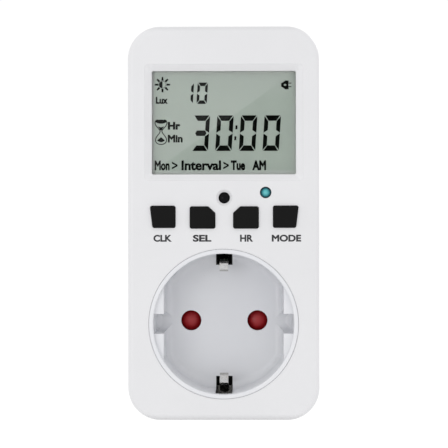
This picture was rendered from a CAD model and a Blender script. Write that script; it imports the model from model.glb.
"""Looks of a plug-in timer switch with a light sensor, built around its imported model."""

import math

import bmesh
import bpy
from mathutils import Matrix, Vector

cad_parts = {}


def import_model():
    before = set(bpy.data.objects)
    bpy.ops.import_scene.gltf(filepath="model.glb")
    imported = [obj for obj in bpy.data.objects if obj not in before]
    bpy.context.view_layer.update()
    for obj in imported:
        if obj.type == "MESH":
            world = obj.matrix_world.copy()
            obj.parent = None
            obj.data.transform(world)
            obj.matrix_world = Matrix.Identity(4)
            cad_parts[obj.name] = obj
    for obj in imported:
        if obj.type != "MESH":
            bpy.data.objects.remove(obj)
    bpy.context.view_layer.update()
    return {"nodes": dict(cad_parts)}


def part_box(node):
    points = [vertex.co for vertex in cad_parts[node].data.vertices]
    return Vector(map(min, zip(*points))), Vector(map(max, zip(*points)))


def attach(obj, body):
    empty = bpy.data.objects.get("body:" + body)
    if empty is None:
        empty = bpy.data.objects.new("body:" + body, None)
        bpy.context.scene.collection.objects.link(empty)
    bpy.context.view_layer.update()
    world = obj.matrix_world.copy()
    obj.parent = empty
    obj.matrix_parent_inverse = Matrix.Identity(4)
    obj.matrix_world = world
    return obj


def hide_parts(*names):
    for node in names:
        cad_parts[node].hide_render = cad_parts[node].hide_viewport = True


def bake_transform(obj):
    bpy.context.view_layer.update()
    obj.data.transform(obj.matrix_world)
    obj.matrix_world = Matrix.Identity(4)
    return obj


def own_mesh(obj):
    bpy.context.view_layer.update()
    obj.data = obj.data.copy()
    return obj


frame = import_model()

# Lengths and places are in millimetres, apart from those of the camera, the floor and the lamps, in metres
MM = 0.001

# Points of a mesh nearer than this, in metres, become one; a screw's head closes over a wider gap
WELD = 1e-7
HEAD_WELD = 1e-6

# Planes of the front, counted along Y
FACE_Y = -36.0
DISPLAY_Y = -32.4

# Thickness of what is printed on the housing and of the display's dark segments
PRINT_THICKNESS = 0.012
SEGMENT_THICKNESS = 0.02

# Figures of the display: size of one and of its bars, height of their tops, and the figure at each left end
LARGE_SIZE = {"width": 4.56, "height": 9.9, "upright": 1.13, "level": 1.53}
LARGE_TOP_Z = 57.87
LARGE_LEFTS = {-8.27: "3", -1.70: "0", 4.87: "0", 11.44: "0"}
SMALL_SIZE = {"width": 2.87, "height": 5.95, "upright": 0.72, "level": 0.98}
SMALL_TOP_Z = 67.02
SMALL_LEFTS = {-11.03: "1", -7.16: "0"}
FIGURE_SLANT = 0.064
SEGMENT_GAP = 0.2
COLON_DOTS = ((3.59, 54.53), (3.27, 51.51))
COLON_WIDTH = 0.55
COLON_HEIGHT = 1.1

# Bars that are dark in each figure, and how far in the middle bar starts, as a share of an upright's width
FIGURES = {
    "0": ("top", "bottom", "upper left", "upper right", "lower left", "lower right"),
    "1": ("upper right", "lower right"),
    "3": ("top", "middle", "bottom", "upper right", "lower right"),
}
BAR_TIP = 0.62

# Half sun at the upper left of the display; corners of a ray as (distance from the middle, distance sideways)
SUN_X = -16.98
SUN_Z = 66.45
SUN_DISC = 1.0
SUN_LINE = 0.09
SUN_RAYS = 8
SUN_RAY = ((1.12, -0.31), (2.15, -0.217), (2.15, 0.217), (1.12, 0.31))

# Hourglass at the left of the display: its neck, line width and overlap of the line's stretches. From the
# neck: height and half width of the glass, its lid as (height, half width, half height), and its sand
GLASS_X = -17.4
GLASS_NECK_Z = 53.48
GLASS_LINE = 0.24
LINE_LAP = 0.2
GLASS_PROFILE = (
    (3.2, 0.9), (3.0, 1.4), (2.5, 1.65), (2.1, 1.65), (1.5, 1.36), (0.8, 0.78), (0.35, 0.38), (0.0, 0.24),
    (-0.45, 0.38), (-1.3, 1.06), (-1.8, 1.38), (-2.3, 1.52), (-2.9, 1.46), (-3.35, 1.12), (-3.6, 0.6),
    (-3.66, 0.0),
)
GLASS_LID = (2.68, 1.48, 0.56)
GLASS_SAND = ((-0.9, 1.36), (0.0, 1.1), (0.9, 1.36), (0.0, 0.06))
GLASS_MOUND = (
    (-0.55, -2.9), (0.0, -3.05), (0.55, -2.9), (1.1, -2.6), (0.7, -2.2),
    (0.36, -1.95), (0.0, -1.6), (-0.36, -1.95), (-0.7, -2.2), (-1.1, -2.6),
)

# Plug mark at the upper right of the display: its hole as (middle, half width, half height) and the upper
# halves of its body and prongs
PLUG_X = 16.04
PLUG_Z = 66.31
PLUG_HOLE = (1.09, 0.36, 0.27)
PLUG_BODY = ((2.0, 0.0), (2.1, 1.2), (1.2, 1.25), (0.5, 0.74), (0.0, 0.46))
PLUG_PRONG = ((2.0, 0.38), (2.85, 0.38), (2.85, 0.62), (2.0, 0.62))

# Words of the display: text, left end, low edge, height, width, and weight as a share of a capital's height
DISPLAY_WORDS = (
    ("Lux", -18.81, 61.11, 1.96, 3.31, 0.045),
    ("Hr", -15.5, 53.94, 2.15, 3.5, 0.055),
    ("Min", -15.5, 50.37, 2.15, 4.1, 0.045),
    ("Mon", -19.14, 42.6, 2.75, 4.1, 0.04),
    (">", -14.37, 42.9, 2.1, 1.57, 0.02),
    ("Interval", -11.71, 42.6, 2.75, 11.0, 0.036),
    (">", -0.09, 42.9, 2.1, 1.57, 0.02),
    ("Tue", 2.02, 42.6, 2.75, 3.99, 0.052),
    ("AM", 7.97, 42.6, 2.75, 3.84, 0.052),
)

# Words printed under the keys: text, middle, width, then as above
KEY_WORD_PLACES = (("CLK", -16.83, 5.1), ("SEL", -5.92, 5.1), ("HR", 6.35, 3.6), ("MODE", 17.37, 8.1))
KEY_WORDS = [(word, middle - width / 2, 22.75, 1.93, width, 0.042) for word, middle, width in KEY_WORD_PLACES]

# Screws: sizes, thread, and for each node its screw and the sense along Y in which it goes in
HOUSING_SCREW = {"Head radius": 2.4, "Head height": 1.6, "Shank radius": 1.2, "Length": 10.0}
SMALL_SCREW = {"Head radius": 1.8, "Head height": 1.2, "Shank radius": 0.95, "Length": 5.0}
THREAD = {"Thread depth": 0.16, "Pitch": 0.8}
SCREWS = {
    "housing_screws": (HOUSING_SCREW, -1),
    "board_screws": (SMALL_SCREW, -1),
    "carrier_screws": (SMALL_SCREW, -1),
    "retainer_screws": (SMALL_SCREW, 1),
    "power_board_screws": (SMALL_SCREW, 1),
}

# Points of a node farther apart than a head's width and this belong to different screws
SCREW_SLACK = 0.2

# Form of a screw: exponents of its dome's curve outwards and upwards, sides of its cross recess as shares of
# the head's radius, its lift as a share of the head's height, where along the shank the thread starts and the
# tip narrows, and the exponent of the thread's crest
DOME_OUT = 0.45
DOME_UP = 0.7
CROSS_LONG = 1.15
CROSS_SHORT = 0.24
CROSS_LIFT = 0.86
THREAD_START = (0.08, 0.16)
TIP = (0.86, 1.0, 1.0, 0.12)
THREAD_CREST = 1.6

# Relay coil: middle of its lower end, and its sizes. Its core lies CORE_SUNK wires deep, and the bore is cut
# BORE_CUT times as long as what it goes through
COIL_PLACE = (-9.6, -13.7, 46.4)
COIL_SIZE = {"Length": 14.2, "Radius": 3.7, "Flange radius": 4.2, "Flange": 0.8, "Bore": 1.9, "Wire": 0.13}
CORE_SUNK = 1.6
BORE_CUT = 1.2

# Edges over this angle in degrees stay sharp
SHARP_ANGLE = 40

# Keypad mat: the joint of each dome, the planes between domes, its seat and how much of it a press leaves
MAT_JOINTS = ("set_press", "function_press", "up_press", "down_press")
MAT_CUTS = (-60.0, -11.4, 0.2, 11.8, 60.0)

# Fades of the finishes, each as (first place, last place, share at the first, share at the last).
# Housing: how deep its shades go, its greyer rounded ends, and its paler display frame by depth, by place as
# (middle, half width) and by the width of its edge
FRONT_Y = (-34.0, -32.0, 1.0, 0.0)
ENDS_Z = ((80.9, 81.7, 0.0, 0.1), (-26.2, -24.9, 0.16, 0.0))
FRAME_FACE_Y = (-36.0, -35.8, 0.0, 0.3)
FRAME_X = (0.1, 21.95)
FRAME_Z = (55.78, 16.2)
FRAME_EDGE = 0.1

# Deep shade in the outlet's earth slots: across them, along them, and into the two plastics
SLOT_X = (2.3, 2.4, 1.0, 0.0)
SLOT_Z = (15.9, 15.98, 0.0, 1.0)
OUTLET_SHADE_Y = (-34.05, -33.95, 0.0, 1.0)
CARRIER_SHADE_Y = (-30.0, -29.0, 0.0, 1.0)

# Nickel plate: the depth of the clips, their rubbed noses, their ends in the slots, and the plug's own pins
CLIPS_Y = (-20.5, -20.0, 1.0, 0.0)
RUBBED_Z = (14.6, 15.0, 0.45, 0.0)
SUNK_Z = (17.8, 18.1, 0.0, 1.0)
PINS_Y = (-4.0, -3.0, 0.0, 0.62)

# Shutter's domes: their distance from the outlet's axis, and the fade of their paler crowns
DOME_X = 9.5
CROWN = (0.4, 2.4, 0.2, 0.0)

# Display film: its pale rims as (axis, edge, sense inward, reach, strength), and its glare above a slant
FILM_RIMS = (
    ("X", -20.1, 1.0, 1.15, 0.95),
    ("X", 20.2, -1.0, 1.2, 0.27),
    ("Z", 70.3, -1.0, 1.2, 0.5),
    ("Z", 70.3, -1.0, 8.0, 0.16),
    ("Z", 41.65, 1.0, 1.2, 0.45),
)
GLARE_SLOPE = 0.7
GLARE_EDGE = (55.6, 56.3, 0.0, 0.11)

# Status light: its middle, and its tone at each share of its radius
LED_X = 11.65
LED_Z = 36.35
LED_RADIUS = 1.5
LED_TONES = (
    (0.0, (96, 188, 192)), (0.3, (76, 178, 184)), (0.5, (50, 156, 163)),
    (0.7, (34, 116, 126)), (0.95, (24, 84, 96)),
)

# Fuse: its middle, and where its caps start from there
FUSE_Z = 51.0
FUSE_CAP = (4.95, 5.05)

# Resistor: the middle and tone of each band, and the fade of a band's edge
RESISTOR_BANDS = ((-4.1, (120, 62, 30)), (-2.8, (30, 30, 32)), (-1.5, (196, 52, 40)), (0.1, (190, 150, 60)))
BAND_EDGE = (0.28, 0.34, 1.0, 0.0)

# Moulded plastics and resins, by slot: screen colour, the tone it drifts to, lowest and highest roughness,
# and what differs from the usual
MOULDED = {
    "white_housing": ((229, 229, 231), (227, 227, 229), 0.3, 0.42, {"dust": 0.02}),
    "outlet_plastic": ((229, 230, 233), (226, 227, 231), 0.26, 0.38, {"dust": 0.02}),
    "red_plastic": ((158, 22, 28), (146, 18, 24), 0.3, 0.42, {"gloss": 0.35}),
    "black_key": (
        (12, 12, 12), (15, 15, 15), 0.5, 0.66, {"grain": 4200.0, "depth": 0.01, "dust": 0.01, "gloss": 0.12},
    ),
    "white_sheet": ((236, 238, 234), (230, 232, 228), 0.5, 0.6, {}),
    "white_frame": ((226, 228, 227), (220, 222, 221), 0.4, 0.5, {}),
    "silicone": ((186, 188, 192), (174, 176, 181), 0.6, 0.75, {"grain": 1400.0}),
    "dark_lens": ((10, 10, 12), (13, 13, 15), 0.05, 0.12, {"depth": 0.001, "dust": 0.01, "gloss": 0.08}),
    "sensor_ceramic": ((222, 178, 112), (206, 158, 92), 0.4, 0.55, {}),
    "black_resin": ((30, 30, 32), (38, 38, 40), 0.5, 0.68, {"grain": 3600.0, "depth": 0.012}),
    "header_plastic": ((32, 32, 33), (40, 40, 41), 0.4, 0.5, {}),
    "carrier_plastic": ((176, 176, 178), (164, 165, 168), 0.45, 0.6, {"grain": 1800.0, "depth": 0.008}),
    "relay_case": ((38, 92, 168), (30, 78, 150), 0.28, 0.38, {}),
    "capacitor_box": ((222, 182, 70), (210, 166, 56), 0.3, 0.42, {}),
    "capacitor_can": ((48, 52, 76), (40, 44, 66), 0.26, 0.36, {}),
    "varistor_coat": ((52, 108, 196), (42, 92, 176), 0.3, 0.45, {"grain": 900.0, "depth": 0.02}),
}

# Metals, by slot: screen colour, tarnish, and what differs from the usual
METALS = {
    "metal_can": ((216, 216, 216), (186, 184, 180), {}),
    "screw_steel": ((196, 197, 200), (150, 148, 144), {"lines": 1600.0, "patches": 420.0}),
    "spring_steel": ((168, 172, 184), (104, 110, 130), {"lines": 1400.0}),
    "contact_brass": ((224, 188, 108), (168, 120, 62), {"patches": 240.0}),
    "nickel_plate": ((250, 248, 243), (228, 225, 217), {"patches": 220.0}),
    "soft_iron": ((178, 178, 180), (128, 124, 118), {"lines": 1200.0}),
}

# Camera, from the photograph's perspective: place in metres, angles in degrees
CAMERA_PLACE = (0.005, -0.486, 0.02765)
CAMERA_YAW = 0.62
CAMERA_ROLL = 0.08
CAMERA_LENS = 130.9
CAMERA_SENSOR = 36.0
CAMERA_CLIP = 0.01

# Floor: height and reach in metres, tone, and strength and share of its glow
FLOOR_Z = -0.060
FLOOR_REACH = 6.0
FLOOR_TONE = 0.9
FLOOR_GLOW = 1.12
FLOOR_GLOW_SHARE = 0.7

# World: strength of its light, and of the white that is seen past the object
SKY_LIGHT = 0.98
SKY_SEEN = 1.03

# Lamps, in metres and watts: place, size and power; all aim at the same point
LAMP_AIM = (0.0, 0.0, 0.028)
LAMPS = {"front_lamp": ((-0.45, -1.1, 0.0), 0.5, 1.6), "back_lamp": ((0.7, 1.0, 0.6), 0.5, 2.0)}

# Cards beside the camera: outline in X and Z, and tone. The line between them rises to the right
CARDS = {
    "dark_card": (((-60.0, 45.8), (-60.0, 44.0), (50.0, 44.0), (50.0, 122.8)), 0.01),
    "grey_card": (((-60.0, 45.8), (-60.0, 125.0), (50.0, 125.0), (50.0, 122.8)), 0.2),
}

WHITE = (1.0, 1.0, 1.0, 1.0)
FLOAT, COLOUR, VECTOR, GEOMETRY = (f"NodeSocket{kind}" for kind in ("Float", "Color", "Vector", "Geometry"))


def from_screen(red, green, blue):
    """Linear colour of a screen colour from 0 to 255."""
    parts = [value / 255 for value in (red, green, blue)]
    linear = [v / 12.92 if v <= 0.04045 else ((v + 0.055) / 1.055) ** 2.4 for v in parts]
    return (*linear, 1.0)


DUST_COLOUR = from_screen(176, 172, 164)


# Node trees


class Nodes:
    """Node tree and short ways to fill it. A value is a number, a colour or the output of another node."""

    def __init__(self, tree):
        self.tree = tree

    def join(self, value, socket):
        if isinstance(value, bpy.types.NodeSocket):
            self.tree.links.new(value, socket)
        else:
            socket.default_value = value

    def fill(self, node, values):
        """Gives inputs of a node their values, by the name of each input with _ for a space."""
        for label, value in values.items():
            self.join(value, node.inputs[label.replace("_", " ")])
        return node

    def add(self, kind, **values):
        return self.fill(self.tree.nodes.new(kind), values)

    def out(self, kind, **values):
        """First output of a new node."""
        return self.add(kind, **values).outputs[0]

    def maths(self, operation, *values):
        node = self.add("ShaderNodeMath")
        node.operation = operation
        for value, socket in zip(values, node.inputs):
            self.join(value, socket)
        return node.outputs[0]

    def times(self, first, *others):
        for other in others:
            first = self.maths("MULTIPLY", first, other)
        return first

    def plus(self, first, second):
        return self.maths("ADD", first, second)

    def minus(self, first, second):
        return self.maths("SUBTRACT", first, second)

    def ramp(self, value, low, high, start=0.0, end=1.0):
        """Goes from start where the value is low to end where it is high."""
        return self.out(
            "ShaderNodeMapRange", Value=value, From_Min=low, From_Max=high, To_Min=start, To_Max=end
        )

    def blend(self, share, first, second):
        """Colour that goes from first to second."""
        node = self.add("ShaderNodeMix")
        node.data_type = "RGBA"
        for value, number in ((share, 0), (first, 6), (second, 7)):
            self.join(value, node.inputs[number])
        return node.outputs[2]

    def noise(self, vector, scale, detail=2.0, roughness=0.5):
        return self.out("ShaderNodeTexNoise", Vector=vector, Scale=scale, Detail=detail, Roughness=roughness)

    def stretched(self, vector, scale):
        return self.out("ShaderNodeMapping", Vector=vector, Scale=scale)

    def seen(self):
        """1 for what the camera sees, also by way of a mirror or through glass."""
        path = self.add("ShaderNodeLightPath").outputs
        direct = self.maths("MAXIMUM", path["Is Camera Ray"], path["Is Glossy Ray"])
        return self.maths("MAXIMUM", direct, path["Is Transmission Ray"])

    def surface(self, share, first, second, output="Material Output"):
        """Shows the first shader node, and the second one by its share."""
        mix = self.add("ShaderNodeMixShader")
        for value, socket in zip((share, first.outputs[0], second.outputs[0]), mix.inputs):
            self.join(value, socket)
        self.join(mix.outputs[0], self.tree.nodes[output].inputs["Surface"])


class Group(Nodes):
    """Node group with inputs (name, kind, value) and outputs (name, kind)."""

    def __init__(self, name, family, inputs, outputs):
        super().__init__(bpy.data.node_groups.new(name, family))
        for label, kind, value in inputs:
            socket = self.tree.interface.new_socket(label, in_out="INPUT", socket_type=kind)
            if value is not None:
                socket.default_value = value
        for label, kind in outputs:
            self.tree.interface.new_socket(label, in_out="OUTPUT", socket_type=kind)
        self.given = self.add("NodeGroupInput").outputs
        self.result = self.add("NodeGroupOutput")

    def give(self, **values):
        self.fill(self.result, values)


# Shader groups


def mould_skin():
    """Skin of a moulded piece: a slow drift of its tone, fine mould grain and faint flow marks."""
    group = Group(
        "mould skin", "ShaderNodeTree",
        (
            ("Vector", VECTOR, None),
            ("Colour", COLOUR, (0.8, 0.8, 0.8, 1)),
            ("Drift colour", COLOUR, (0.7, 0.7, 0.7, 1)),
            ("Drift scale", FLOAT, 40.0),
            ("Grain scale", FLOAT, 2500.0),
            ("Smooth", FLOAT, 0.3),
            ("Dull", FLOAT, 0.4),
        ),
        (("Colour", COLOUR), ("Roughness", FLOAT), ("Height", FLOAT)),
    )
    given = group.given
    place, scale = given["Vector"], given["Drift scale"]
    drift = group.noise(place, scale, detail=3.0)
    flow = group.noise(group.stretched(place, (1.0, 1.0, 0.25)), group.times(scale, 5.0))
    grain = group.noise(place, given["Grain scale"], roughness=0.6)
    patches = group.plus(group.times(flow, 0.6), group.times(grain, 0.4))
    group.give(
        Colour=group.blend(group.ramp(drift, 0.35, 0.65), given["Colour"], given["Drift colour"]),
        Roughness=group.ramp(patches, 0.3, 0.7, given["Smooth"], given["Dull"]),
        Height=group.plus(group.times(grain, 0.7), group.times(flow, 0.3)),
    )
    return group.tree


def drawn_metal():
    """Drawn or stamped metal: fine lines along one direction, with faint tarnish in patches."""
    group = Group(
        "drawn metal", "ShaderNodeTree",
        (
            ("Vector", VECTOR, None),
            ("Colour", COLOUR, (0.7, 0.7, 0.7, 1)),
            ("Tarnish", COLOUR, (0.4, 0.4, 0.4, 1)),
            ("Line scale", FLOAT, 900.0),
            ("Patch scale", FLOAT, 180.0),
        ),
        (("Colour", COLOUR), ("Roughness", FLOAT), ("Height", FLOAT)),
    )
    given = group.given
    lines = group.noise(group.stretched(given["Vector"], (6.0, 0.3, 6.0)), given["Line scale"])
    patches = group.noise(given["Vector"], given["Patch scale"], detail=4.0, roughness=0.6)
    spread = group.ramp(patches, 0.45, 0.75, 0.0, 0.75)
    group.give(
        Colour=group.blend(spread, given["Colour"], given["Tarnish"]),
        Roughness=group.plus(group.ramp(lines, 0.3, 0.7, 0.16, 0.32), group.times(spread, 0.18)),
        Height=lines,
    )
    return group.tree


def settled_dust():
    """Share of fine dust on what faces up, in soft patches."""
    group = Group(
        "settled dust", "ShaderNodeTree",
        (("Vector", VECTOR, None), ("Amount", FLOAT, 0.1)),
        (("Share", FLOAT),),
    )
    normal = group.add("ShaderNodeNewGeometry").outputs["Normal"]
    facing = group.ramp(group.add("ShaderNodeSeparateXYZ", Vector=normal).outputs["Z"], 0.2, 1.0)
    cloud = group.noise(group.given["Vector"], 260.0, detail=5.0, roughness=0.65)
    patches = group.ramp(cloud, 0.4, 0.7, 0.2, 1.0)
    group.give(Share=group.times(facing, patches, group.given["Amount"]))
    return group.tree


MOULD_SKIN = mould_skin()
DRAWN_METAL = drawn_metal()
SETTLED_DUST = settled_dust()


# Materials


class Look(Nodes):
    """Material with its Principled shader and object coordinates; paint and tint take screen colours."""

    def __init__(self, name):
        self.material = bpy.data.materials.new(name.replace("_", " "))
        self.material.use_nodes = True
        super().__init__(self.material.node_tree)
        self.shader = self.tree.nodes["Principled BSDF"]
        self.place = self.add("ShaderNodeTexCoord").outputs["Object"]

    def set(self, **values):
        self.fill(self.shader, values)

    def axes(self):
        """The object's own X, Y and Z."""
        return self.add("ShaderNodeSeparateXYZ", Vector=self.place).outputs

    def pattern(self, scale, detail=2.0, roughness=0.5, stretch=None):
        """Noise over the object, stretched along its axes where that is given."""
        place = self.stretched(self.place, stretch) if stretch else self.place
        return self.noise(place, scale, detail, roughness)

    def group(self, tree, **values):
        """Outputs of a shader group."""
        node = self.add("ShaderNodeGroup")
        node.node_tree = tree
        return self.fill(node, {"Vector": self.place, **values}).outputs

    def fade(self, value, low, high, start=0.0, end=1.0):
        """Ramp between two lengths in millimetres."""
        return self.ramp(value, low * MM, high * MM, start, end)

    def off(self, value, middle):
        """How far a place is from the middle, to either side."""
        return self.maths("ABSOLUTE", self.minus(value, middle * MM))

    def reach(self, across, up):
        """Distance of a point from the middle."""
        return self.maths("SQRT", self.plus(self.times(across, across), self.times(up, up)))

    def paint(self, share, first, second):
        """Base colour that goes from first to second."""
        self.set(Base_Color=self.blend(share, from_screen(*first), from_screen(*second)))

    def tint(self, share, colour):
        """Lays a share of a colour over the base colour."""
        base = self.shader.inputs["Base Color"].links[0].from_socket
        self.set(Base_Color=self.blend(share, base, from_screen(*colour)))

    def roughen(self, pattern, smooth, dull):
        """Roughness that follows a noise from smooth to dull."""
        self.set(Roughness=self.ramp(pattern, 0.3, 0.7, smooth, dull))

    def bump(self, height, depth):
        """Raises the surface by a height from 0 to 1, depth millimetres high."""
        self.set(Normal=self.out("ShaderNodeBump", Height=height, Distance=depth * MM, Strength=1.0))


def moulded(name, colour, drift, smooth, dull, grain=2500.0, depth=0.004, dust=0.04, gloss=0.5):
    """Moulded plastic or resin."""
    look = Look(name)
    skin = look.group(
        MOULD_SKIN, Colour=from_screen(*colour), Drift_colour=from_screen(*drift), Grain_scale=grain,
        Smooth=smooth, Dull=dull,
    )
    dusty = look.group(SETTLED_DUST, Amount=dust)["Share"]
    look.set(Base_Color=look.blend(dusty, skin["Colour"], DUST_COLOUR))
    look.set(Roughness=skin["Roughness"], Specular_IOR_Level=gloss)
    look.bump(skin["Height"], depth)
    return look


def metal(name, colour, tarnish, lines=900.0, patches=180.0):
    """Drawn, stamped or plated metal."""
    look = Look(name)
    skin = look.group(
        DRAWN_METAL, Colour=from_screen(*colour), Tarnish=from_screen(*tarnish),
        Line_scale=lines, Patch_scale=patches,
    )
    look.set(Base_Color=skin["Colour"], Roughness=skin["Roughness"], Metallic=1.0)
    look.bump(skin["Height"], depth=0.003)
    return look


def shade_front(look):
    """Housing: at the front greyer on its rounded ends, and paler in the display's frame."""
    x, y, z = look.axes()
    front = look.fade(y, *FRONT_Y)
    upper, lower = (look.fade(z, *end) for end in ENDS_Z)
    look.tint(look.times(look.plus(upper, lower), front), (120, 120, 122))
    pale = look.times(look.fade(y, *FRAME_FACE_Y), front)
    for axis, (middle, half) in ((x, FRAME_X), (z, FRAME_Z)):
        pale = look.times(pale, look.fade(look.off(axis, middle), half, half + FRAME_EDGE, 1.0, 0.0))
    look.tint(pale, (250, 250, 252))


def shade_slots(look, depth):
    """Darkens a plastic inside the outlet's two earth slots."""
    x, y, z = look.axes()
    beside = look.fade(look.maths("ABSOLUTE", x), *SLOT_X)
    beyond = look.fade(look.maths("ABSOLUTE", z), *SLOT_Z)
    shade = look.times(beside, beyond, look.fade(y, *depth))
    look.tint(shade, (5, 5, 6))
    dull = look.shader.inputs["Roughness"].links[0].from_socket
    look.set(Roughness=look.maths("MAXIMUM", dull, shade))


def shade_plate(look):
    """Nickel plate: dull where plugs rub the earth clips, dark in their slots, greyer on the plug's pins."""
    _, y, z = look.axes()
    level = look.maths("ABSOLUTE", z)
    worn = look.plus(look.fade(level, *RUBBED_Z), look.fade(level, *SUNK_Z))
    look.tint(look.times(look.fade(y, *CLIPS_Y), worn), (44, 43, 40))
    look.tint(look.fade(y, *PINS_Y), (138, 136, 132))


def shade_domes(look):
    """Shutter: its two domes are paler on their crowns."""
    x, _, z = look.axes()
    across = look.minus(look.maths("ABSOLUTE", x), DOME_X * MM)
    look.tint(look.fade(look.reach(across, z), *CROWN), (214, 74, 80))


def clear_window(look):
    """Clear acrylic that lets the light through to the display."""
    wear = look.pattern(scale=700.0, detail=3.0, stretch=(1.0, 1.0, 3.0))
    look.set(Base_Color=WHITE, Transmission_Weight=1.0, IOR=1.49)
    look.set(Roughness=look.ramp(wear, 0.3, 0.8, 0.0, 0.03))
    shadow = look.add("ShaderNodeLightPath").outputs["Is Shadow Ray"]
    look.surface(shadow, look.shader, look.add("ShaderNodeBsdfTransparent"))


def display_glass(look):
    """Reflective liquid crystal: grey-green film with a pearl grain, paler along its rim and in the glare."""
    pearl = look.pattern(scale=6000.0, detail=1.0)
    cloud = look.pattern(scale=45.0)
    share = look.plus(look.times(pearl, 0.35), look.times(cloud, 0.65))
    look.paint(look.ramp(share, 0.35, 0.65), (192, 205, 194), (186, 199, 189))
    axes = look.axes()
    pale = 0.0
    for axis, edge, inward, reach, strength in FILM_RIMS:
        depth = look.times(look.minus(axes[axis], edge * MM), inward)
        pale = look.maths("MAXIMUM", pale, look.fade(depth, 0.0, reach, strength, 0.0))
    rise = look.minus(axes["Z"], look.times(axes["X"], GLARE_SLOPE))
    look.tint(look.maths("MAXIMUM", pale, look.fade(rise, *GLARE_EDGE)), (255, 255, 255))
    look.roughen(pearl, 0.4, 0.5)
    look.set(Specular_IOR_Level=0.25)


def segment_ink(look):
    """Dark, switched-on segments of the display."""
    cloud = look.pattern(scale=900.0)
    look.set(Base_Color=look.blend(cloud, (0.001, 0.002, 0.001, 1.0), (0.004, 0.006, 0.004, 1.0)))
    look.set(Specular_IOR_Level=0.03)
    look.roughen(cloud, 0.5, 0.65)


def grey_print(look):
    """Grey ink, a little uneven as pad printing is."""
    cover = look.pattern(scale=5000.0, detail=3.0, roughness=0.6)
    look.paint(look.ramp(cover, 0.35, 0.75), (24, 25, 28), (42, 43, 47))
    look.roughen(cover, 0.45, 0.6)


def teal_lens(look):
    """Tinted lens of the status light, pale in its middle and dark at its rim."""
    x, _, z = look.axes()
    reach = look.reach(look.minus(x, LED_X * MM), look.minus(z, LED_Z * MM))
    tones = look.add("ShaderNodeValToRGB", Fac=look.maths("DIVIDE", reach, LED_RADIUS * MM))
    stops = tones.color_ramp.elements
    for stop, (share, tone) in zip(stops, (LED_TONES[0], LED_TONES[-1])):
        stop.position, stop.color = share, from_screen(*tone)
    for share, tone in LED_TONES[1:-1]:
        stops.new(share).color = from_screen(*tone)
    look.set(Base_Color=tones.outputs["Color"], Coat_Weight=0.3)
    look.roughen(look.pattern(scale=1800.0), 0.08, 0.16)


def green_board(look):
    """Circuit board: green mask over copper tracks that show as paler lines."""
    flat = look.stretched(look.place, (1.0, 0.0, 1.0))
    cells = look.add("ShaderNodeTexVoronoi", Vector=flat, Scale=230.0)
    cells.distance = "MANHATTAN"
    lines = look.maths("PINGPONG", look.times(cells.outputs["Distance"], 3.0), 0.5)
    tracks = look.ramp(lines, 0.18, 0.24)
    glass = look.pattern(scale=3000.0)
    look.paint(tracks, (16, 92, 52), (34, 122, 72))
    look.tint(look.times(glass, 0.2), (10, 60, 36))
    look.roughen(glass, 0.28, 0.42)
    look.bump(tracks, depth=0.03)


def copper_winding(look):
    """Enamelled copper wire of two mixed tones."""
    streaks = look.pattern(scale=400.0, stretch=(1.0, 1.0, 30.0))
    look.paint(streaks, (196, 108, 62), (226, 146, 92))
    look.roughen(streaks, 0.22, 0.36)
    look.set(Metallic=1.0, Coat_Weight=0.6)


def zebra_rubber(look):
    """Contact strip of thin dark and light layers."""
    layer = look.maths("PINGPONG", look.times(look.axes()["X"], 10000.0), 0.5)
    look.paint(look.ramp(layer, 0.2, 0.3), (40, 40, 44), (170, 172, 176))
    look.roughen(look.pattern(scale=2000.0), 0.6, 0.75)


def fuse_glass(look):
    """Fuse: metal caps at both ends and clear-looking glass between them."""
    cap = look.fade(look.off(look.axes()["Z"], FUSE_Z), *FUSE_CAP)
    wear = look.pattern(scale=1200.0, detail=3.0)
    steel = look.blend(wear, from_screen(208, 208, 206), from_screen(176, 174, 170))
    look.set(Base_Color=look.blend(cap, from_screen(214, 222, 218), steel), Metallic=cap)
    look.roughen(wear, 0.08, 0.22)


def resistor_coat(look):
    """Lacquered resistor with four colour bands round its body."""
    along = look.axes()["X"]
    lacquer = look.pattern(scale=1500.0, detail=3.0)
    look.paint(lacquer, (214, 190, 148), (198, 170, 126))
    for middle, tone in RESISTOR_BANDS:
        look.tint(look.fade(look.off(along, middle), *BAND_EDGE), tone)
    look.roughen(lacquer, 0.3, 0.42)


def own_look(dress):
    """Material that a function dresses, with the function's name."""
    look = Look(dress.__name__)
    dress(look)
    return look.material


def finishes():
    """The material of each slot in the record."""
    looks = {slot: moulded(slot, *skin, **extra) for slot, (*skin, extra) in MOULDED.items()}
    looks |= {slot: metal(slot, *skin, **extra) for slot, (*skin, extra) in METALS.items()}
    shade_front(looks["white_housing"])
    shade_slots(looks["outlet_plastic"], OUTLET_SHADE_Y)
    shade_slots(looks["carrier_plastic"], CARRIER_SHADE_Y)
    shade_domes(looks["red_plastic"])
    shade_plate(looks["nickel_plate"])
    finish = {slot: look.material for slot, look in looks.items()}
    for dress in (
        clear_window, display_glass, teal_lens, green_board,
        copper_winding, zebra_rubber, fuse_glass, resistor_coat,
    ):
        finish[dress.__name__] = own_look(dress)
    return finish


FINISH = finishes()
SEGMENT_INK = own_look(segment_ink)
GREY_PRINT = own_look(grey_print)


def dress_nodes():
    """Gives each CAD node the finish of its own slot."""
    for node in frame["nodes"].values():
        for place in node.material_slots:
            place.material = FINISH[place.material.name]


# Meshes and pieces


def in_scene(name, data):
    """New object of the scene."""
    holder = bpy.data.objects.new(name, data)
    bpy.context.scene.collection.objects.link(holder)
    return holder


def with_material(mesh, material):
    mesh.materials.clear()
    mesh.materials.append(material)
    return mesh


def new_piece(name, mesh, material):
    """Object with that mesh and material, riding on the root body."""
    piece = in_scene(name, with_material(mesh, material))
    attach(piece, "root")
    return piece


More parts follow.
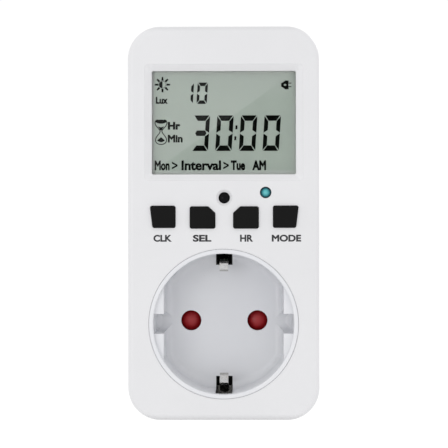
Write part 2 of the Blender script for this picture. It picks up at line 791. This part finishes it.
def formed(name, form):
    """Mesh of a bmesh whose faces are turned outwards."""
    bmesh.ops.recalc_face_normals(form, faces=form.faces)
    mesh = bpy.data.meshes.new(name)
    form.to_mesh(mesh)
    form.free()
    return mesh


def settled(holder):
    """Mesh that an object shows once all its steps are done; the object goes."""
    bpy.context.view_layer.update()
    mesh = bpy.data.meshes.new_from_object(holder.evaluated_get(bpy.context.evaluated_depsgraph_get()))
    bpy.data.objects.remove(holder)
    return mesh


def smoothed(piece):
    """Smooth shading, with sharp edges kept."""
    form = bmesh.new()
    form.from_mesh(piece.data)
    for face in form.faces:
        face.smooth = True
    limit = math.radians(SHARP_ANGLE)
    for edge in form.edges:
        edge.smooth = len(edge.link_faces) != 2 or edge.calc_face_angle(0) < limit
    form.to_mesh(piece.data)
    form.free()


# Flat marks of the display: outlines of (x, z) points, made into thin plates


def plates(name, outlines):
    """Piece with a plate for each outline, that stands on the display."""
    form = bmesh.new()
    for outline in outlines:
        back, front = (
            [form.verts.new((x * MM, y * MM, z * MM)) for x, z in outline]
            for y in (DISPLAY_Y, DISPLAY_Y - SEGMENT_THICKNESS)
        )
        form.faces.new(back)
        form.faces.new(front)
        for i in range(len(outline)):
            j = (i + 1) % len(outline)
            form.faces.new((back[i], back[j], front[j], front[i]))
    new_piece(name, formed(name, form), SEGMENT_INK)


def arc(x, z, wide, tall, start, end, steps):
    """Points along an ellipse about x, z; angles are in turns."""
    angles = [math.tau * (start + (end - start) * i / steps) for i in range(steps + 1)]
    return [(x + wide * math.cos(a), z + tall * math.sin(a)) for a in angles]


def moved(outlines, x, z):
    return [[(x + across, z + up) for across, up in outline] for outline in outlines]


def figure_bars(width, height, upright, level):
    """The seven bars of a figure, as outlines in a cell whose lower left corner is at 0, 0."""
    g = SEGMENT_GAP / 2
    middle = height / 2
    half = level / 2
    left = [(0, middle + g), (upright, middle + half + g), (upright, height - level - g), (0, height - 2 * g)]
    top = [
        (2 * g, height), (width - 2 * g, height),
        (width - upright - g, height - level), (upright + g, height - level),
    ]
    tip = BAR_TIP * upright
    hexagon = [
        (tip, middle), (upright, middle + half), (width - upright, middle + half),
        (width - tip, middle), (width - upright, middle - half), (upright, middle - half),
    ]

    def turned(outline, across, over):
        return [(width - x if across else x, height - z if over else z) for x, z in outline]

    return {
        "top": top,
        "bottom": turned(top, False, True),
        "middle": hexagon,
        "upper left": left,
        "upper right": turned(left, True, False),
        "lower left": turned(left, False, True),
        "lower right": turned(left, True, True),
    }


def slanted(outline, level_z):
    """Outline leaning to the right above level_z and to the left below it."""
    return [(x + (z - level_z) * FIGURE_SLANT, z) for x, z in outline]


def display_figures():
    """The large and the small figures, with the two dots between the large ones."""
    outlines = []
    for size, top_z, lefts in (
        (LARGE_SIZE, LARGE_TOP_Z, LARGE_LEFTS),
        (SMALL_SIZE, SMALL_TOP_Z, SMALL_LEFTS),
    ):
        bars = figure_bars(**size)
        for left, figure in lefts.items():
            cell = moved([bars[bar] for bar in FIGURES[figure]], left, top_z - size["height"])
            outlines += [slanted(outline, top_z) for outline in cell]
    for x, z in COLON_DOTS:
        half, tall = COLON_WIDTH / 2, COLON_HEIGHT / 2
        dot = [(x - half, z - tall), (x + half, z - tall), (x + half, z + tall), (x - half, z + tall)]
        outlines.append(slanted(dot, z))
    plates("display_figures", outlines)


def sun_outlines():
    """Half sun: a disc whose left half is dark, and short rays round it."""
    outlines = [arc(SUN_X, SUN_Z, SUN_DISC, SUN_DISC, 0.25, 0.75, steps=16)]
    inner, outer = (
        arc(SUN_X, SUN_Z, radius, radius, -0.25, 0.25, steps=12) for radius in (SUN_DISC - SUN_LINE, SUN_DISC)
    )
    for i in range(len(inner) - 1):
        outlines.append([inner[i], outer[i], outer[i + 1], inner[i + 1]])
    for i in range(SUN_RAYS):
        cos, sin = (wave(math.tau * i / SUN_RAYS) for wave in (math.cos, math.sin))
        outlines.append([(SUN_X + r * cos - w * sin, SUN_Z + r * sin + w * cos) for r, w in SUN_RAY])
    return outlines


def band_outlines(points, width):
    """Narrow band along a line of points, whose stretches overlap a little."""
    outlines = []
    for start, end in zip(points, points[1:]):
        a, b = Vector(start), Vector(end)
        along = (b - a).normalized()
        side = Vector((-along.y, along.x)) * width / 2
        lap = along * width * LINE_LAP
        outlines.append([tuple(p) for p in (a - lap - side, b + lap - side, b + lap + side, a - lap + side)])
    return outlines


def hourglass_outlines():
    """Hourglass with a dark lid, a thin outline, sand above its neck and a mound below."""
    height, wide, tall = GLASS_LID
    outlines = [arc(0.0, height, wide, tall, 0.0, 1.0, steps=24)[:-1]]
    for side in (-1, 1):
        outlines += band_outlines([(side * half, up) for up, half in GLASS_PROFILE], GLASS_LINE)
    return moved([*outlines, GLASS_SAND, GLASS_MOUND], GLASS_X, GLASS_NECK_Z)


def plug_outlines():
    """Plug mark: a tapered body with a hole, and two short prongs at its right."""
    middle, wide, tall = PLUG_HOLE
    body = [(0.0, 0.0), *arc(middle, 0.0, -wide, tall, 0.0, 0.5, steps=8), *PLUG_BODY]
    halves = [[(x, z * side) for x, z in form] for side in (-1, 1) for form in (body, PLUG_PRONG)]
    return moved(halves, PLUG_X, PLUG_Z)


# Lettering in Blender's own font


def word_form(word, left, low_z, capital, width, weight, back_y, thickness):
    """Mesh of a word that stands on the plane back_y, as high and wide as given."""
    text = bpy.data.curves.new("word", "FONT")
    text.body = word
    text.bevel_depth = weight
    text.bevel_resolution = 0
    text.extrude = 0.5
    text.resolution_u = 6
    mesh = settled(in_scene("word", text))
    xs = [v.co.x for v in mesh.vertices]
    ys = [v.co.y for v in mesh.vertices]
    across = width / (max(xs) - min(xs))
    up = capital / (max(ys) - min(ys))
    for v in mesh.vertices:
        x, y, z = v.co
        v.co = (
            (left + (x - min(xs)) * across) * MM,
            (back_y - thickness / 2 - z * thickness) * MM,
            (low_z + (y - min(ys)) * up) * MM,
        )
    return mesh


def lettering(name, words, back_y, thickness, ink):
    """Piece made of several words."""
    form = bmesh.new()
    for word in words:
        mesh = word_form(*word, back_y, thickness)
        form.from_mesh(mesh)
        bpy.data.meshes.remove(mesh)
    bmesh.ops.remove_doubles(form, verts=form.verts, dist=WELD)
    new_piece(name, formed(name, form), ink)


# Parts that bend: the keypad mat under each key, and the shutter's spring


def mat_piece(joint, low, high):
    """Stretch of the keypad mat between two planes, which flattens as its own key goes in."""
    form = bmesh.new()
    form.from_mesh(frame["nodes"]["keypad_mat"].data)
    bmesh.ops.remove_doubles(form, verts=form.verts, dist=WELD)
    for place, sense in ((low, -1.0), (high, 1.0)):
        cut = bmesh.ops.bisect_plane(
            form, geom=form.verts[:] + form.edges[:] + form.faces[:],
            plane_co=(place * MM, 0.0, 0.0), plane_no=(sense, 0.0, 0.0), clear_outer=True,
        )
        rim = [item for item in cut["geom_cut"] if isinstance(item, bmesh.types.BMEdge)]
        if rim:
            bmesh.ops.holes_fill(form, edges=rim)
    name = "mat_" + joint
    piece = new_piece(name, formed(name, form), FINISH["silicone"])
    smoothed(piece)
    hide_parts("keypad_mat")
    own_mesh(piece)


def keypad_mat():
    for joint, low, high in zip(MAT_JOINTS, MAT_CUTS, MAT_CUTS[1:]):
        mat_piece(joint, low, high)


def shutter_spring():
    """Bowed strip whose one end stays and whose other end goes with the shutter."""
    mesh = frame["nodes"]["shutter_spring"].data.copy()
    mesh.name = "bent_spring"
    piece = in_scene("bent_spring", with_material(mesh, FINISH["spring_steel"]))
    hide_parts("shutter_spring")
    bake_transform(piece)


# Geometry Nodes: turned screws and the relay's winding


class Growth(Group):
    """Geometry Nodes group that grows a form on each point of a mesh, by named sizes."""

    def __init__(self, name, sizes):
        inputs = [("Geometry", GEOMETRY, None), *((label, FLOAT, size * MM) for label, size in sizes.items())]
        super().__init__(name, "GeometryNodeTree", inputs, [("Geometry", GEOMETRY)])

    def vector(self, x, y, z):
        return self.out("ShaderNodeCombineXYZ", X=x, Y=y, Z=z)

    def lifted(self, form, height):
        return self.out("GeometryNodeTransform", Geometry=form, Translation=self.vector(0.0, 0.0, height))

    def merged(self, form, distance):
        return self.out("GeometryNodeMergeByDistance", Geometry=form, Distance=distance)

    def flipped(self, form):
        return self.out("GeometryNodeFlipFaces", Mesh=form)

    def together(self, *forms):
        node = self.add("GeometryNodeJoinGeometry")
        for form in forms:
            self.join(form, node.inputs[0])
        return node.outputs[0]

    def cut(self, form, *tools):
        node = self.add("GeometryNodeMeshBoolean", Mesh_1=form)
        node.operation = "DIFFERENCE"
        node.solver = "EXACT"
        for tool in tools:
            self.join(tool, node.inputs["Mesh 2"])
        return node.outputs["Mesh"]

    def turned(self, rings, sides, radius_of, height_of):
        """Surface of revolution about Z. Its height follows a share along it, its radius also the turn."""
        grid = self.out("GeometryNodeMeshGrid", Size_X=1.0, Size_Y=1.0, Vertices_X=rings, Vertices_Y=sides)
        at = self.add("ShaderNodeSeparateXYZ", Vector=self.out("GeometryNodeInputPosition")).outputs
        share = self.plus(at["X"], 0.5)
        turn = self.times(self.plus(at["Y"], 0.5), math.tau)
        radius = radius_of(share, turn)
        x, y = (self.times(radius, self.maths(wave, turn)) for wave in ("COSINE", "SINE"))
        place = self.vector(x, y, height_of(share))
        return self.merged(self.out("GeometryNodeSetPosition", Geometry=grid, Position=place), WELD)

    def grow(self, form, turn=0.0):
        """Ends the group: the form on each point, turned about X."""
        points, rotation = self.given["Geometry"], self.vector(turn, 0.0, 0.0)
        placed = self.out("GeometryNodeInstanceOnPoints", Points=points, Instance=form, Rotation=rotation)
        self.give(Geometry=self.out("GeometryNodeRealizeInstances", Geometry=placed))
        return self.tree


def screw_tree():
    """Screw with a domed head, a cross recess and a cut thread."""
    nodes = Growth("turned screw", {**HOUSING_SCREW, **THREAD, "Turn": 0.0})
    size = nodes.given
    radius, height, length = size["Head radius"], size["Head height"], size["Length"]

    def swell(wave, share, exponent):
        return nodes.maths("POWER", nodes.maths(wave, nodes.times(share, math.pi / 2)), exponent)

    dome = nodes.turned(
        rings=14, sides=33,
        radius_of=lambda share, turn: nodes.times(radius, swell("COSINE", share, DOME_OUT)),
        height_of=lambda share: nodes.times(height, swell("SINE", share, DOME_UP)),
    )
    disc = nodes.add("GeometryNodeMeshCircle", Vertices=32, Radius=radius)
    disc.fill_type = "NGON"
    head = nodes.merged(nodes.together(dome, nodes.flipped(disc.outputs[0])), HEAD_WELD)
    long_side, short_side = nodes.times(radius, CROSS_LONG), nodes.times(radius, CROSS_SHORT)
    cross = []
    for sides in ((long_side, short_side), (short_side, long_side)):
        block = nodes.out("GeometryNodeMeshCube", Size=nodes.vector(*sides, height))
        cross.append(nodes.lifted(block, nodes.times(height, CROSS_LIFT)))

    def shank_radius(share, turn):
        along = nodes.maths("DIVIDE", nodes.times(share, length), size["Pitch"])
        phase = nodes.minus(along, nodes.maths("DIVIDE", turn, math.tau))
        crest = nodes.maths("POWER", nodes.times(nodes.maths("PINGPONG", phase, 0.5), 2.0), THREAD_CREST)
        groove = nodes.times(size["Thread depth"], nodes.ramp(share, *THREAD_START), nodes.minus(1.0, crest))
        return nodes.times(nodes.minus(size["Shank radius"], groove), nodes.ramp(share, *TIP))

    shank = nodes.turned(
        rings=110, sides=25, radius_of=shank_radius, height_of=lambda share: nodes.times(share, length, -1.0)
    )
    return nodes.grow(nodes.together(nodes.cut(head, *cross), nodes.flipped(shank)), size["Turn"])


def winding_tree():
    """Bobbin with flanges, and one wire wound round it in close turns."""
    nodes = Growth("relay winding", COIL_SIZE)
    size = nodes.given
    length, radius, flange, wire = (size[label] for label in ("Length", "Radius", "Flange", "Wire"))
    inner = nodes.minus(length, nodes.times(flange, 2.0))
    pitch = nodes.times(wire, 2.0)
    run = nodes.minus(inner, pitch)
    bend = nodes.minus(radius, wire)
    helix = nodes.out(
        "GeometryNodeCurveSpiral", Resolution=24, Rotations=nodes.maths("DIVIDE", run, pitch),
        Start_Radius=bend, End_Radius=bend, Height=run,
    )
    section = nodes.out("GeometryNodeCurvePrimitiveCircle", Resolution=6, Radius=wire)
    wound = nodes.out("GeometryNodeCurveToMesh", Curve=helix, Profile_Curve=section, Fill_Caps=True)
    parts = [nodes.lifted(wound, nodes.plus(flange, wire))]
    core = nodes.minus(radius, nodes.times(wire, CORE_SUNK))
    half_flange = nodes.times(flange, 0.5)
    for outside, depth, place in (
        (core, inner, nodes.times(length, 0.5)),
        (size["Flange radius"], flange, half_flange),
        (size["Flange radius"], flange, nodes.minus(length, half_flange)),
    ):
        drum = nodes.out("GeometryNodeMeshCylinder", Vertices=48, Radius=outside, Depth=depth)
        bored = nodes.times(depth, BORE_CUT)
        bore = nodes.out("GeometryNodeMeshCylinder", Vertices=32, Radius=size["Bore"], Depth=bored)
        parts.append(nodes.lifted(nodes.cut(drum, bore), place))
    return nodes.grow(nodes.together(*parts))


def grown(name, points, tree, values, slot, node):
    """Piece grown by a Geometry Nodes tree on points, baked to a mesh, that stands for a CAD node."""
    mesh = bpy.data.meshes.new(name)
    mesh.from_pydata([tuple(c * MM for c in point) for point in points], [], [])
    seed = in_scene(name + "_seed", mesh)
    growth = seed.modifiers.new("growth", "NODES")
    growth.node_group = tree
    for item in tree.interface.items_tree:
        if item.in_out == "INPUT" and item.name in values:
            growth[item.identifier] = values[item.name]
    baked = settled(seed)
    baked.name = name
    piece = new_piece(name, baked, FINISH[slot])
    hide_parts(node)
    smoothed(piece)


def screw_places(node, screw, sense):
    """Middle of each screw's head, on the side of its shank, read from the CAD node's own outline."""
    low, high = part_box(node)
    seat = (high.y if sense < 0 else low.y) / MM + sense * screw["Head height"]
    clusters = []
    for vertex in frame["nodes"][node].data.vertices:
        x, _, z = (c / MM for c in vertex.co)
        for cluster in clusters:
            if math.dist(cluster[0], (x, z)) < 2 * screw["Head radius"] + SCREW_SLACK:
                cluster.append((x, z))
                break
        else:
            clusters.append([(x, z)])
    middles = []
    for cluster in clusters:
        x, z = ((min(values) + max(values)) / 2 for values in zip(*cluster))
        middles.append((x, seat, z))
    return middles


def screws():
    """All screws, grown from one tree: the housing's, and the small ones inside."""
    tree = screw_tree()
    for node, (screw, sense) in SCREWS.items():
        values = {label: size * MM for label, size in screw.items()}
        values["Turn"] = math.radians(90 * sense)
        grown("turned_" + node, screw_places(node, screw, sense), tree, values, "screw_steel", node)


# Floor, light and camera


def stage_plane(name, corners, material):
    mesh = bpy.data.meshes.new(name)
    mesh.from_pydata(corners, [], [tuple(range(len(corners)))])
    plane = in_scene(name, with_material(mesh, material))
    return plane


def floor():
    """Pale floor that shows white to the camera and keeps the object's shadow."""
    look = Look("floor")
    look.set(Base_Color=(FLOOR_TONE, FLOOR_TONE, FLOOR_TONE, 1.0), Roughness=0.9, Specular_IOR_Level=0.0)
    glow = look.add("ShaderNodeEmission", Strength=FLOOR_GLOW)
    look.surface(look.times(look.seen(), FLOOR_GLOW_SHARE), look.shader, glow)
    corners = [(x * FLOOR_REACH, y * FLOOR_REACH, FLOOR_Z) for x, y in ((-1, -1), (1, -1), (1, 1), (-1, 1))]
    stage_plane("floor", corners, look.material)


def reflection_cards():
    """Two cards beside the camera that only mirrors see; their slanted edge is the window's glare line."""
    for name, (outline, tone) in CARDS.items():
        look = Look(name)
        glow = look.add("ShaderNodeEmission", Color=(tone, tone, tone, 1.0))
        look.join(glow.outputs[0], look.tree.nodes["Material Output"].inputs["Surface"])
        look.tree.nodes.remove(look.shader)
        card = stage_plane(name, [(x * MM, CAMERA_PLACE[1], z * MM) for x, z in outline], look.material)
        card.visible_camera = False
        card.visible_diffuse = False
        card.visible_shadow = False


def world():
    """Even white light, and plain white for what looks past the object."""
    sky = bpy.data.worlds.new("studio")
    bpy.context.scene.world = sky
    sky.use_nodes = True
    nodes = Nodes(sky.node_tree)
    even = nodes.fill(sky.node_tree.nodes["Background"], {"Color": WHITE, "Strength": SKY_LIGHT})
    white = nodes.add("ShaderNodeBackground", Color=WHITE, Strength=SKY_SEEN)
    nodes.surface(nodes.seen(), even, white, "World Output")


def lamps():
    for name, (place, size, power) in LAMPS.items():
        lamp = bpy.data.lights.new(name, "AREA")
        lamp.shape = "DISK"
        lamp.size = size
        lamp.energy = power
        holder = in_scene(name, lamp)
        holder.location = place
        holder.rotation_euler = (Vector(LAMP_AIM) - Vector(place)).to_track_quat("-Z", "Y").to_euler()


def camera():
    yaw, roll = math.radians(CAMERA_YAW), math.radians(CAMERA_ROLL)
    forward = Vector((-math.sin(yaw), math.cos(yaw), 0.0))
    level = Vector((math.cos(yaw), math.sin(yaw), 0.0))
    upright = Vector((0.0, 0.0, 1.0))
    right = level * math.cos(roll) - upright * math.sin(roll)
    up = upright * math.cos(roll) + level * math.sin(roll)
    lens = bpy.data.cameras.new("camera")
    lens.sensor_width = CAMERA_SENSOR
    lens.lens = CAMERA_LENS
    lens.clip_start = CAMERA_CLIP
    holder = in_scene("camera", lens)
    turn = Matrix((right, up, -forward)).transposed().to_4x4()
    holder.matrix_world = Matrix.Translation(CAMERA_PLACE) @ turn
    bpy.context.scene.camera = holder


camera()
world()
lamps()
floor()
reflection_cards()
dress_nodes()
display_figures()
plates("display_marks", sun_outlines() + hourglass_outlines() + plug_outlines())
lettering("display_words", DISPLAY_WORDS, DISPLAY_Y, SEGMENT_THICKNESS, SEGMENT_INK)
lettering("key_words", KEY_WORDS, FACE_Y, PRINT_THICKNESS, GREY_PRINT)
keypad_mat()
shutter_spring()
screws()
grown("wound_coil", [COIL_PLACE], winding_tree(), {}, "copper_winding", "relay_coil")
bpy.context.scene.view_settings.view_transform = "Standard"
